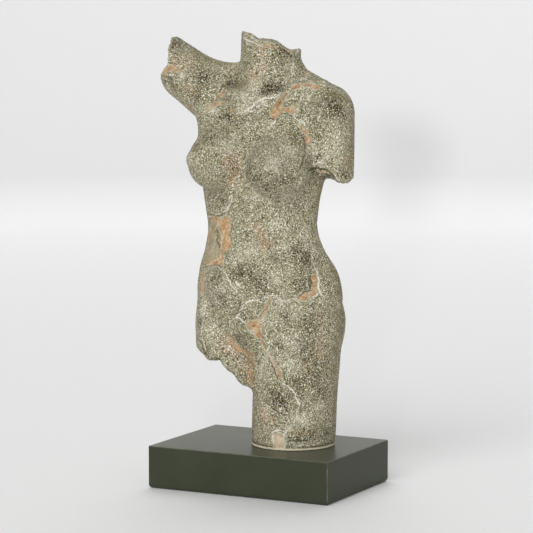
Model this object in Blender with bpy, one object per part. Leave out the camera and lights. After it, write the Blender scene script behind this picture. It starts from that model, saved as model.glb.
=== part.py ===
"""A broken female torso, cast in one piece, standing on its left thigh on a flat rectangular plinth.

The figure faces -Y, its left side is +X, and the plinth's underside is at Z = 0.
"""

from math import cos, pi, radians, sin

import bmesh
import bpy
import numpy as np
import openvdb

# Plinth, in metres
PLINTH_LENGTH = 0.232
PLINTH_DEPTH = 0.165
PLINTH_HEIGHT = 0.050
PLINTH_EDGE_ROUND = 0.0010
PLINTH_FOOT_ROUND = 0.0045
ROUND_STEPS = 4

# Figure, in metres: from its flat cut foot to the highest point of the broken neck
FIGURE_HEIGHT = 0.482
SEAT_GAP = 0.0003

# The figure is laid out in parts of its own height, about 482 of them, so a part is 1 mm at the
# real size. X runs to the figure's left, Y to its back, and Z up from the cut foot.
CELL = 3.0
OUTSIDE = 999.0
LOW_CORNER = (-165.0, -105.0, -13.0)
HIGH_CORNER = (129.0, 90.0, 495.0)
TRIANGLES = 9400
SHARP_ANGLE = 42.0

MIDLINE = -6.0

# Stations of the trunk: height, half width, depth to the front, depth to the back, centre x, centre y
TRUNK = (
    (96.0, 58.0, 32.0, 42.0, -2.0, 4.0),
    (118.0, 76.0, 45.0, 54.0, -1.0, 5.0),
    (150.0, 88.0, 55.0, 58.0, -2.0, 5.0),
    (178.0, 91.0, 58.0, 55.0, -1.5, 4.0),
    (205.0, 86.0, 57.0, 48.0, -1.6, 2.0),
    (228.0, 75.0, 52.0, 43.0, -5.0, 0.0),
    (250.0, 68.5, 47.0, 43.0, -7.5, -1.0),
    (280.0, 71.0, 47.0, 47.0, -9.5, 0.0),
    (315.0, 77.0, 50.0, 52.0, -9.5, 2.0),
    (350.0, 80.0, 49.0, 53.0, -8.0, 4.0),
    (380.0, 80.0, 43.0, 49.0, -6.0, 7.0),
    (402.0, 72.0, 36.0, 42.0, -4.0, 9.0),
    (422.0, 54.0, 29.0, 35.0, -3.0, 11.0),
    (438.0, 34.0, 24.0, 27.0, -3.0, 12.0),
)
# Stations of the standing left leg and of the broken right thigh, in the same order
LEFT_LEG = (
    (-30.0, 49.0, 49.0, 49.0, 27.5, 6.3),
    (0.0, 49.3, 49.3, 49.3, 28.6, 6.3),
    (60.0, 50.0, 50.0, 50.0, 31.0, 6.3),
    (100.0, 51.0, 53.0, 53.0, 32.5, 6.0),
    (150.0, 50.0, 54.0, 56.0, 36.0, 5.0),
    (196.0, 22.0, 32.0, 32.0, 36.0, 3.0),
)
RIGHT_THIGH = (
    (20.0, 42.0, 42.0, 44.0, -42.0, -8.0),
    (70.0, 44.0, 46.0, 48.0, -43.0, -6.0),
    (110.0, 46.0, 51.0, 52.0, -43.0, -2.0),
    (150.0, 46.0, 53.0, 55.0, -42.0, 2.0),
    (196.0, 22.0, 32.0, 32.0, -41.0, 3.0),
)

# Each broken rim: the way that points off the figure, the direction that the rim is followed in, and
# pairs of a distance along that direction and how far out the piece still reaches there
# Level, and turned 27 degrees from the figure's left to its back, as one sees it from its left front
ACROSS_FRONT = (0.89, 0.457, 0.0)
THIGH_RIM = (
    (0.0, -0.18, -1.0),
    ACROSS_FRONT,
    ((-90, -107), (-84, -104), (-78, -98), (-72, -91), (-64, -91), (-59, -93), (-55, -87), (-50, -82))
    + ((-42, -77), (-38, -71), (-33, -65), (-22, -63)),
)
LEFT_ARM_RIM = (
    (0.0, -0.1, -1.0),
    ACROSS_FRONT,
    ((45, -318), (70, -315), (73, -312), (78, -308), (90, -307), (94, -310), (97, -315), (103, -317)),
)
RIGHT_ARM_RIM = (
    (-1.0, 0.0, 0.0),
    (0.0, 0.0, 1.0),
    ((410, 138), (424, 138), (431, 136), (437, 131), (442, 127), (449, 127), (458, 130), (469, 132))
    + ((474, 134), (480, 135)),
)
NECK_RIM = (
    (0.0, 0.0, 1.0),
    ACROSS_FRONT,
    ((-35, 482), (-28, 481.5), (-20, 479), (-13, 473), (1, 473), (9, 470.5), (16, 465), (22, 461))
    + ((29, 460.5), (35, 463), (39, 461)),
)

# The collar bones from the breastbone outwards, and the hollows above them, left side first
COLLAR_BONES = (
    ((5.0, -27.0, 404.0), (70.0, -4.0, 420.0)),
    ((-17.0, -27.0, 405.0), (-72.0, -8.0, 424.0)),
)
COLLAR_HOLLOWS = ((19.0, -27.0, 421.0), (-36.0, -23.0, 424.0))


def smooth_union(a, b, blend):
    """The union of two solids whose joint is filled over a width of blend."""
    share = np.maximum(blend - np.abs(a - b), 0.0) / blend
    return np.minimum(a, b) - share * share * blend / 4.0


def smooth_cut(a, b, blend):
    """Solid a with solid b carved out of it, the edge eased over a width of blend."""
    return -smooth_union(-a, b, blend)


def ellipsoid(p, centre, radii, turn=0.0, tilt=0.0):
    """An ellipsoid. turn is about Z and tilt about its own X, in degrees."""
    x, y, z = (p[i] - centre[i] for i in range(3))
    c, s = cos(radians(turn)), sin(radians(turn))
    x, y = c * x + s * y, c * y - s * x
    c, s = cos(radians(tilt)), sin(radians(tilt))
    y, z = c * y + s * z, c * z - s * y
    near = np.sqrt((x / radii[0]) ** 2 + (y / radii[1]) ** 2 + (z / radii[2]) ** 2)
    slope = np.sqrt((x / radii[0] ** 2) ** 2 + (y / radii[1] ** 2) ** 2 + (z / radii[2] ** 2) ** 2)
    return near * (near - 1.0) / np.maximum(slope, 1e-6)


def rod(p, start, end, start_radius, end_radius):
    """A straight limb, muscle or groove with round ends, whose radius changes along it."""
    start, end = np.array(start), np.array(end)
    along = end - start
    from_start = [p[i] - start[i] for i in range(3)]
    share = sum(from_start[i] * along[i] for i in range(3)) / (along @ along)
    share = np.clip(share, 0.0, 1.0)
    away = sum((from_start[i] - share * along[i]) ** 2 for i in range(3))
    return np.sqrt(away) - (start_radius + share * (end_radius - start_radius))


def loft(p, stations):
    """An upright form whose level sections are ellipses, eased between stations."""
    heights = np.array([station[0] for station in stations])
    level = np.clip(p[2][0, 0, :], heights[0], heights[-1])
    index = np.clip(np.searchsorted(heights, level) - 1, 0, len(heights) - 2)
    step = heights[index + 1] - heights[index]
    t = (level - heights[index]) / step
    sizes = []
    for column in range(1, 6):
        values = np.array([station[column] for station in stations])
        slopes = np.gradient(values, heights)
        sizes.append(
            (2 * t**3 - 3 * t**2 + 1) * values[index]
            + (t**3 - 2 * t**2 + t) * step * slopes[index]
            + (3 * t**2 - 2 * t**3) * values[index + 1]
            + (t**3 - t**2) * step * slopes[index + 1]
        )
    half_width, front, back, centre_x, centre_y = sizes
    x = p[0] - centre_x
    y = p[1] - centre_y
    depth = np.where(y < 0, front, back)
    ratio = np.sqrt((x / half_width) ** 2 + (y / depth) ** 2)
    sides = (ratio - 1.0) * np.minimum(half_width, np.minimum(front, back))
    ends = np.maximum(heights[0] - p[2], p[2] - heights[-1])
    return np.maximum(sides, ends)


def rubble(p, spacing, seed):
    """Noise from -1 to 1 with flat facets about spacing across, the same on every run."""
    axes = [p[0][:, 0, 0], p[1][0, :, 0], p[2][0, 0, :]]
    counts = [int((axis[-1] - axis[0]) / spacing) + 3 for axis in axes]
    values = np.random.default_rng(seed).uniform(-1.0, 1.0, counts)
    for i, axis in enumerate(axes):
        place = (axis - axis[0]) / spacing
        low = place.astype(int)
        share = (place - low).reshape([-1 if j == i else 1 for j in range(3)])
        values = np.take(values, low, i) * (1 - share) + np.take(values, low + 1, i) * share
    return values


def broken_off(solid, p, rim, seed, coarse=0.8, fine=1.0):
    """Solid with all that lies past a rim broken away roughly."""
    way, across, reaches = rim
    out = sum(p[i] * way[i] for i in range(3))
    along = sum(p[i] * across[i] for i in range(3))
    reach = np.interp(along, *zip(*reaches))
    rough = coarse * rubble(p, 15.0, seed) + fine * rubble(p, 6.5, seed + 1)
    return np.maximum(solid, out - reach + rough)


def trunk(p):
    """Rib cage, waist, belly and pelvis, with the seat, spine and shoulder blades behind."""
    solid = loft(p, TRUNK)
    for side, height in ((-1, 150.0), (1, 146.0)):
        seat = ellipsoid(p, (MIDLINE + 4 + side * 37.0, 40.0, height), (40.0, 34.0, 42.0))
        solid = smooth_union(solid, seat, 16.0)
    belly = ellipsoid(p, (MIDLINE + 2, -28.0, 192.0), (54.0, 33.0, 46.0))
    solid = smooth_union(solid, belly, 24.0)
    spine = rod(p, (MIDLINE, 57.0, 215.0), (MIDLINE, 68.0, 360.0), 12.0, 14.0)
    solid = smooth_cut(solid, spine, 12.0)
    cleft = rod(p, (MIDLINE + 4, 82.0, 182.0), (MIDLINE + 5, 62.0, 112.0), 9.0, 8.0)
    solid = smooth_cut(solid, cleft, 9.0)
    for side in (-1, 1):
        blade = (MIDLINE + side * 40.0, 40.0, 362.0)
        solid = smooth_union(solid, ellipsoid(p, blade, (27.0, 15.0, 42.0), turn=side * -20.0), 30.0)
    return solid


def lower_limbs(p, solid):
    """The broken right thigh and the standing left leg joined to the trunk, with the groin between."""
    solid = smooth_union(solid, loft(p, RIGHT_THIGH), 12.0)
    solid = broken_off(solid, p, THIGH_RIM, 11)
    solid = smooth_union(solid, loft(p, LEFT_LEG), 9.0)
    mound = ellipsoid(p, (MIDLINE + 6, -32.0, 140.0), (24.0, 24.0, 27.0), tilt=-12.0)
    solid = smooth_union(solid, mound, 18.0)
    for side, highest, lowest, width in ((-1, 178.0, 104.0, 8.0), (1, 192.0, 116.0, 3.5)):
        start = (MIDLINE + 5 + side * 70.0, -47.0, highest)
        crease = rod(p, start, (MIDLINE + 8 + side * 12, -60.0, lowest), 4.0, width)
        solid = smooth_cut(solid, crease, 14.0)
    return solid


def breasts(p, solid):
    """Two breasts, each a dome drawn out to its tip, sloping up into the chest."""
    for side, spread, width, height in ((-1, 40.0, 32.5, 331.0), (1, 36.0, 36.0, 324.0)):
        centre = (MIDLINE + side * spread, -36.0, height)
        breast = ellipsoid(p, centre, (width, 39.5, 34.0), turn=side * 20.0, tilt=8.0)
        chest = (MIDLINE + side * 50.0, -12.0, height + 52)
        upper = rod(p, (MIDLINE + side * 42.0, -31.0, height + 8), chest, 24.0, 16.0)
        solid = smooth_union(solid, smooth_union(breast, upper, 20.0), 10.0)
        tip = ellipsoid(p, (MIDLINE + side * (spread + 13.5), -73.5, height + 5), (6.0, 6.0, 6.0))
        solid = smooth_union(solid, tip, 19.0)
    return solid


def arms(p, solid):
    """The hanging left arm and the raised right one, both broken off above the elbow."""
    yoke = rod(p, (16.0, 14.0, 429.0), (74.0, 10.0, 398.0), 16.0, 22.0)
    solid = smooth_union(solid, yoke, 14.0)
    left = rod(p, (76.0, 4.0, 386.0), (79.0, 1.0, 270.0), 29.0, 26.5)
    solid = smooth_union(solid, broken_off(left, p, LEFT_ARM_RIM, 21), 9.0)
    yoke = rod(p, (-24.0, 14.0, 425.0), (-84.0, 12.0, 413.0), 20.5, 30.5)
    solid = smooth_union(solid, yoke, 10.0)
    right = rod(p, (-74.0, 12.0, 405.0), (-180.0, 12.0, 468.0), 33.0, 29.5)
    solid = smooth_union(solid, broken_off(right, p, RIGHT_ARM_RIM, 31), 14.0)
    armpit_fold = rod(p, (-57.0, -22.0, 358.0), (-82.0, -4.0, 410.0), 18.0, 15.0)
    return smooth_union(solid, armpit_fold, 12.0)


def neck_and_collar(p, solid):
    """The broken neck, the collar bones and the hollows above them."""
    neck = rod(p, (-3.0, 10.0, 420.0), (-4.0, 14.0, 520.0), 36.0, 34.0)
    solid = smooth_union(solid, broken_off(neck, p, NECK_RIM, 41), 10.0)
    for start, end in COLLAR_BONES:
        solid = smooth_union(solid, rod(p, start, end, 7.5, 7.0), 12.0)
    for hollow in COLLAR_HOLLOWS:
        solid = smooth_cut(solid, ellipsoid(p, hollow, (15.0, 8.0, 7.0)), 12.0)
    return solid


def figure(p):
    solid = lower_limbs(p, trunk(p))
    solid = breasts(p, solid)
    solid = arms(p, solid)
    return neck_and_collar(p, solid)


def material(name, colour, roughness):
    made = bpy.data.materials.new(name)
    made.use_nodes = True
    shader = made.node_tree.nodes["Principled BSDF"]
    shader.inputs["Base Color"].default_value = (*colour, 1.0)
    shader.inputs["Roughness"].default_value = roughness
    return made


def add_object(name, mesh, finish):
    made = bpy.data.objects.new(name, mesh)
    bpy.context.scene.collection.objects.link(made)
    mesh.materials.clear()
    mesh.materials.append(finish)
    mesh.shade_smooth()
    mesh.set_sharp_from_angle(angle=radians(SHARP_ANGLE))
    return made


def torso(finish):
    """The figure's solid sampled on a grid, skinned, sawn flat at its foot, and thinned."""
    counts = [round((high - low) / CELL) for low, high in zip(LOW_CORNER, HIGH_CORNER)]
    axes = [low + CELL * np.arange(count) for low, count in zip(LOW_CORNER, counts)]
    grid = openvdb.FloatGrid(OUTSIDE)
    grid.copyFromArray(figure(np.meshgrid(*axes, indexing="ij")))
    points, quads = grid.convertToQuads()
    foot = (0.0, 0.0, PLINTH_HEIGHT + SEAT_GAP)
    points = np.array(points) * CELL + LOW_CORNER
    points = points * (FIGURE_HEIGHT / points[:, 2].max()) + foot
    skin = bpy.data.meshes.new("torso skin")
    skin.from_pydata(points.tolist(), [], np.array(quads).tolist())
    bm = bmesh.new()
    bm.from_mesh(skin)
    everything = bm.verts[:] + bm.edges[:] + bm.faces[:]
    bmesh.ops.bisect_plane(bm, geom=everything, plane_co=foot, plane_no=(0, 0, 1), clear_inner=True)
    bmesh.ops.holes_fill(bm, edges=[edge for edge in bm.edges if edge.is_boundary])
    bmesh.ops.triangulate(bm, faces=bm.faces)
    bm.to_mesh(skin)
    bm.free()
    made = add_object("torso", skin, finish)
    thinned = made.modifiers.new("Thinned", "DECIMATE")
    thinned.ratio = min(1.0, TRIANGLES / len(skin.polygons))
    mesh = bpy.data.meshes.new_from_object(made.evaluated_get(bpy.context.evaluated_depsgraph_get()))
    bpy.data.objects.remove(made)
    return add_object("torso", mesh, finish)


def plinth(finish):
    """A slab drawn as level rounded rectangles from its underside up to its top."""
    levels = []
    for i in range(ROUND_STEPS + 1):
        turn = pi / 2 * i / ROUND_STEPS
        levels.append((PLINTH_FOOT_ROUND * (1 - cos(turn)), PLINTH_FOOT_ROUND * (1 - sin(turn))))
    for i in range(ROUND_STEPS + 1):
        turn = pi / 2 * i / ROUND_STEPS
        rise = PLINTH_EDGE_ROUND * (1 - sin(turn))
        levels.append((PLINTH_HEIGHT - rise, PLINTH_EDGE_ROUND * (1 - cos(turn))))
    bm = bmesh.new()
    rings = []
    for z, inset in levels:
        ring = []
        for sign_x, sign_y, first in ((1, 1, 0), (-1, 1, 1), (-1, -1, 2), (1, -1, 3)):
            for i in range(ROUND_STEPS + 1):
                turn = pi / 2 * (first + i / ROUND_STEPS)
                x = sign_x * (PLINTH_LENGTH / 2 - inset - PLINTH_EDGE_ROUND) + PLINTH_EDGE_ROUND * cos(turn)
                y = sign_y * (PLINTH_DEPTH / 2 - inset - PLINTH_EDGE_ROUND) + PLINTH_EDGE_ROUND * sin(turn)
                ring.append(bm.verts.new((x, y, z)))
        rings.append(ring)
    for low, high in zip(rings, rings[1:]):
        for i in range(len(low)):
            j = (i + 1) % len(low)
            bm.faces.new((low[i], low[j], high[j], high[i]))
    bm.faces.new(rings[0][::-1])
    bm.faces.new(rings[-1])
    mesh = bpy.data.meshes.new("plinth")
    bm.to_mesh(mesh)
    bm.free()
    return add_object("plinth", mesh, finish)


def main():
    for old in list(bpy.data.objects):
        bpy.data.objects.remove(old)
    torso(material("weathered cast stone", (0.30, 0.28, 0.20), 0.9))
    plinth(material("satin green-black lacquer", (0.060, 0.064, 0.047), 0.45))


main()
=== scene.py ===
# %% [markdown]
# # A broken torso in crackled cast stone
#
# The object is a shelf sculpture about half life size: a headless female torso, cast in stone powder
# and resin, on a flat dark plinth. The cast copies a piece that time has broken, so the skin is
# grainy, cracks run over it with pale lime in them, and where flakes are lost an ochre under-body
# shows. The model of its form comes ready made. This script gives it its skin and its finishes.

from math import cos, pi, radians, sin

import bmesh
import bpy
import numpy as np
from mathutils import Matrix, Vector
from mathutils.bvhtree import BVHTree
from mathutils.kdtree import KDTree


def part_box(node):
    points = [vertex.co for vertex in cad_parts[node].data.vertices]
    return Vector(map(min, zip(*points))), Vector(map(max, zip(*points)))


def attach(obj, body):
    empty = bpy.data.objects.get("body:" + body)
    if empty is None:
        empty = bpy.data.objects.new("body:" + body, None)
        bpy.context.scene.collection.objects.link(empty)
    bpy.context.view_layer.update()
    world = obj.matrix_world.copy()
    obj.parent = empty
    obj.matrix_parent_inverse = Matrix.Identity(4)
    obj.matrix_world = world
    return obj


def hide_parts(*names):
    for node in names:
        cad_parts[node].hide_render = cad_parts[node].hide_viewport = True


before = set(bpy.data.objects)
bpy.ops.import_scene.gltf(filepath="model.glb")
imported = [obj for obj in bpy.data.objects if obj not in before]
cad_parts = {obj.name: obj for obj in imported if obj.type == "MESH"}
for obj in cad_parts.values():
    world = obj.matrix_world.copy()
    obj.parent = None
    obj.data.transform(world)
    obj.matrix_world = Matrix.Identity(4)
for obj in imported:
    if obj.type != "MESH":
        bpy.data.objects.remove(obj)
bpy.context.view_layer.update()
MM = 0.001
for name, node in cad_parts.items():
    print(name, "has", len(node.data.polygons), "faces")

# %% [markdown]
# ## The camera
#
# The picture was taken from the figure's left front, a little above its waist. The place of the
# camera was worked out once from the plinth's corners. A long lens keeps the plinth's sides nearly
# parallel. The same numbers serve again further down, where cracks are placed by where they are seen.

# %% Place the camera
PICTURE_SIDE = 533
CAMERA_DISTANCE = 2.899
CAMERA_AZIMUTH = radians(27.19)
CAMERA_ELEVATION = radians(6.14)
CAMERA_TARGET = Vector((-0.0034, 0.0, 0.2579))
FOCAL_PIXELS = 2486.0
SENSOR_WIDTH = 36.0

to_camera = Vector(
    (
        sin(CAMERA_AZIMUTH) * cos(CAMERA_ELEVATION),
        -cos(CAMERA_AZIMUTH) * cos(CAMERA_ELEVATION),
        sin(CAMERA_ELEVATION),
    )
)
camera_data = bpy.data.cameras.new("camera")
camera_data.sensor_width = SENSOR_WIDTH
camera_data.lens = FOCAL_PIXELS / PICTURE_SIDE * SENSOR_WIDTH
camera = bpy.data.objects.new("camera", camera_data)
camera.location = CAMERA_TARGET + to_camera * CAMERA_DISTANCE
camera.rotation_euler = to_camera.to_track_quat("Z", "Y").to_euler()
bpy.context.scene.collection.objects.link(camera)
bpy.context.scene.camera = camera
print("lens", round(camera_data.lens, 1), "mm")

# %% [markdown]
# ## Two helpers
#
# Paint makers and web pages give colours as sRGB hex values, and Blender's shaders want linear light,
# so one function turns the first into the second. Another adds a node to a tree: an input that is
# given a socket is linked to it, one that is given a node is linked to that node's result, and any
# other value is set. The kinds of node and the settings that come up again and again have names.


# %% Colours and nodes
def linear(hex_colour):
    """A colour such as "#a09a80" as linear red, green, blue and a full alpha."""
    channels = [int(hex_colour[i : i + 2], 16) / 255 for i in (1, 3, 5)]
    bright = [((c + 0.055) / 1.055) ** 2.4 if c > 0.04045 else c / 12.92 for c in channels]
    return (*bright, 1.0)


def add(tree, kind, settings=None, inputs=None):
    """Adds one node to a tree, sets its settings, and sets or links its inputs."""
    node = tree.nodes.new(kind)
    for name, value in (settings or {}).items():
        setattr(node, name, value)
    for name, value in (inputs or {}).items():
        if isinstance(value, bpy.types.Node):
            value = next(output for output in value.outputs if not output.is_unavailable)
        if isinstance(value, bpy.types.NodeSocket):
            tree.links.new(value, node.inputs[name])
        else:
            node.inputs[name].default_value = value
    return node


# Kinds of node and settings that come up again and again
MATH, ARROWS, RANGE = "ShaderNodeMath", "ShaderNodeVectorMath", "ShaderNodeMapRange"
NOISE, MIX, STORED = "ShaderNodeTexNoise", "ShaderNodeMix", "GeometryNodeInputNamedAttribute"
PLUS, MINUS, TIMES = {"operation": "ADD"}, {"operation": "SUBTRACT"}, {"operation": "MULTIPLY"}
LARGER, SMALLER = {"operation": "MAXIMUM"}, {"operation": "MINIMUM"}
UNSIGNED, STRETCH = {"operation": "ABSOLUTE"}, {"operation": "SCALE"}
SMOOTH, COLOURS = {"interpolation_type": "SMOOTHSTEP"}, {"data_type": "RGBA"}
print("white is", linear("#ffffff"))

# %% [markdown]
# ## Where the damage is
#
# Cracks, creases and smears are routes over the figure, with a half width in millimetres at each
# point. Lost flakes are outlines. On the front both are given as they are seen, in pixels of the
# picture. On the back they are given in millimetres to the figure's left and above the plinth.
# Nobody has seen the back, so it has fewer and plainer ones.
#
# Lime is pale filler standing in a hair crack. Ochre is the under-body where a flake is lost, and a
# worn patch is an older loss, gone smooth and grey. A fold is a crease of the figure itself or the
# undercut edge of a flake, grooved a little and darkened along it with painted shade. A seam is a
# soft smear of rusty paint.

# %% Lime in the cracks
LIME_IN_PIXELS = {
    "hip": (
        (309.2, 238.4, 0.4), (313, 247.6, 0.6), (312.4, 258.3, 0.6), (315.4, 267.5, 0.7),
        (317.6, 274, 0.8), (318.9, 281, 0.9), (318.8, 286.6, 1), (320.2, 291.4, 1.1), (323.2, 296, 0.7),
        (325.2, 300.4, 0.4),
    ),
    "hip spur": ((318.9, 289, 0.5), (320.8, 286.8, 0.6)),
    "under the hip": ((308.5, 297, 0.4), (313, 298, 0.7), (317, 295.5, 0.7), (319.4, 291.8, 0.6)),
    "belly": (
        (270.9, 295.2, 0.7), (264.8, 298.3, 0.7), (260, 300.6, 0.6), (253, 300.6, 1.1), (247, 302, 0.9),
        (243.2, 304.6, 0.8), (241.8, 309, 0.7), (239, 313, 0.7), (236.4, 317, 1), (240, 320, 0.9),
        (246.4, 324.5, 0.9),
    ),
    "belly branch": (
        (236.4, 317.5, 0.9), (231.8, 319.5, 0.8), (229, 322.6, 0.8), (229.4, 328, 0.7), (231.5, 332, 0.4),
    ),
    "above the flake": (
        (270, 296, 0.7), (274.5, 296.2, 0.7), (277.5, 298.8, 0.9), (282, 301, 0.8), (286.2, 302.5, 0.8),
        (290, 299.8, 0.9), (297.5, 299, 0.8),
    ),
    "knee side": (
        (282.4, 381.6, 0.7), (287, 386.8, 0.9), (291, 390, 1), (294.6, 393.4, 1), (297.2, 399.6, 0.9),
        (299.4, 404.2, 1.2),
    ),
    "knee side low": (
        (299.2, 404.5, 0.8), (298.2, 411.6, 0.7), (296.2, 417.6, 0.7), (292.4, 425, 0.8), (286, 432, 0.9),
        (283.8, 438, 0.8), (284.2, 449, 0.9),
    ),
    "knee side branch": ((299.6, 403.6, 0.9), (302.6, 402.4, 0.7), (306, 400, 0.3)),
    "knee crumbs": ((308.6, 397.6, 0.9), (310, 396.8, 0.5)),
    "knee crumbs above": ((312.6, 392.6, 1.3), (314.6, 391, 0.9)),
    "knee crumbs below": ((310.4, 403.4, 1), (312, 404.4, 0.6)),
    "thigh": (
        (271.6, 333, 0.5), (271, 338, 0.6), (271.6, 343, 0.8), (268.6, 347, 0.8), (266.4, 350.6, 0.9),
    ),
    "thigh branch": ((264.6, 335, 0.8), (270.4, 338.4, 0.8)),
    "waist": ((232.6, 192.2, 0.5), (231.7, 198.9, 0.8), (228.2, 206.5, 0.8), (224.4, 213.6, 0.7)),
    "flank": (
        (221.3, 266.7, 0.6), (225.9, 275.6, 0.8), (230.5, 284.8, 1), (236.3, 291.5, 0.7), (241, 297, 0.4),
    ),
    "flank blot": ((235, 281.5, 0.9), (238, 285.6, 1.9)),
    "broken thigh": (
        (204.7, 311.2, 0.7), (202.3, 322.7, 0.9), (201.5, 328.3, 0.8), (201.1, 335.3, 0.8),
        (203.5, 345.6, 1), (205.3, 352.5, 0.8),
    ),
    "broken thigh branch": ((203.5, 300.8, 0.8), (211, 303.1, 0.8), (217, 302, 0.5)),
    "broken thigh chalk": ((213.6, 297, 0.7), (217, 302, 0.9), (220.6, 307, 0.5)),
    "breastbone": (
        (236, 113.6, 0.8), (243, 112.4, 0.7), (248.6, 109.6, 1.1), (252.6, 105.4, 1.3), (258, 101.6, 1),
        (263.4, 98.6, 1.2), (270, 97.8, 1), (276.4, 96.6, 0.9), (280.6, 93.4, 0.9), (285.4, 90.4, 0.5),
    ),
    "breastbone fork": ((248, 111.4, 0.9), (254, 109.6, 0.8), (259.6, 104.6, 0.7), (266, 101, 0.8)),
    "breastbone knot": ((264.6, 98.6, 1), (262, 103, 0.7), (267.4, 106, 0.9), (269.6, 108.6, 0.5)),
    "breastbone tail": ((262, 107.6, 0.9), (258.6, 112.4, 1), (256.4, 116, 0.5)),
    "left armpit": (
        (293.7, 113.4, 0.4), (294.6, 117, 0.7), (298, 120.5, 0.8), (301.6, 121.4, 0.8), (304.6, 123.4, 1),
        (305.2, 127, 0.5),
    ),
    "left armpit fork": ((299.4, 121, 0.5), (299.6, 128, 0.5), (302, 134, 0.5)),
    "shoulder thread": (
        (305, 93.4, 0.5), (300.8, 97.6, 0.8), (298.6, 103, 0.7), (296.6, 108, 0.6), (293.8, 113, 0.4),
    ),
    "right breast": ((230, 138.6, 0.6), (235, 133, 0.9), (237, 131, 0.3)),
    "right breast thread": ((238, 129.6, 0.3), (245, 123.6, 0.5), (253, 116.4, 0.5)),
    "left breast": ((267.4, 130.6, 0.4), (271, 126.6, 0.7), (273.6, 122.6, 1.3), (275.8, 119.8, 0.5)),
    "left breast stroke": ((259.6, 135.6, 1), (261.6, 133.6, 0.4)),
    "left breast chalk": ((261.4, 163.4, 0.6), (265.8, 170, 0.8), (270, 170.8, 0.5)),
    "arm stroke": ((316, 121.6, 0.4), (319, 117.6, 0.9), (321.2, 114.4, 0.5)),
    "arm end": ((313, 165.6, 0.4), (316.6, 163.6, 0.8), (320, 162.4, 1), (323.6, 164.6, 0.6)),
    "arm end low": ((318.4, 158.6, 0.4), (317.6, 162.8, 0.7)),
    "under the breast": ((290, 191.2, 0.5), (293.8, 197, 0.7), (295.8, 206.5, 0.5)),
    "neck": ((273.6, 66, 0.5), (275.6, 73, 0.7), (277.4, 79.4, 0.5)),
    "neck side": ((293.6, 58, 0.6), (293, 66, 0.9), (291.6, 76.6, 0.6)),
    "neck corner": ((297.6, 48.6, 1), (295.4, 53.6, 0.8), (293.6, 56, 0.4)),
    "neck edge": (
        (241, 36, 0.9), (244.6, 39, 1.2), (248.6, 40.6, 1), (254, 43, 0.7), (262, 46, 0.7),
        (270, 48.6, 0.5),
    ),
    "left shoulder": ((292, 79, 0.4), (299, 80, 0.8), (305.6, 77.6, 0.9), (311.4, 81.6, 0.6)),
    "left shoulder end": ((319, 84.6, 0.5), (324.6, 84.6, 0.6)),
    "right arm": ((169, 75.6, 1.3), (173.4, 74.8, 1)),
    "right collar": ((211, 112, 1.1), (215.6, 109, 1)),
    "foot rim": ((271.6, 431.6, 0.7), (271.6, 436, 0.9), (273.2, 444, 0.5)),
    "foot crumbs": ((273.6, 431.4, 0.9), (277.4, 429.8, 1.3), (280.4, 430.6, 0.8)),
    "foot crumbs right": ((285.4, 428.6, 1.2), (287.6, 427.4, 0.5)),
    "foot band": ((289, 445.2, 0.7), (300, 445.8, 0.9), (312, 445.2, 0.8), (322, 442.6, 0.6)),
}
print(len(LIME_IN_PIXELS), "lime routes")

# %% Thin losses along the cracks
OCHRE_IN_PIXELS = {
    "belly": (
        (270, 298.6, 0.9), (268.4, 304, 1.2), (265, 311, 1.5), (261, 317.6, 1.5), (258.6, 321.8, 1.4),
    ),
    "under the flake": ((259.6, 337.8, 1.2), (262.6, 343, 1), (266.2, 350.2, 0.9)),
    "thigh": (
        (266.4, 350.6, 0.9), (269.4, 356.6, 1.1), (272.9, 362.6, 1.3), (276.5, 369, 1.6),
        (279, 373.6, 1.9), (279.8, 378, 1.3), (282.4, 382, 0.7),
    ),
    "cream of the flake": ((296, 299, 0.5), (286.4, 302.6, 0.5), (277, 299, 0.5)),
    "knee side": ((297.6, 413.6, 0.5), (291.6, 426.6, 0.8), (287.6, 430.4, 0.6)),
    "waist seam": ((221.8, 252, 1.1), (221.4, 259, 1.2), (221, 265, 0.9)),
    "hip seam": ((214, 263.8, 1), (208, 266.6, 1.2), (205, 270.4, 1)),
}
print(len(OCHRE_IN_PIXELS), "thin losses")
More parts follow.
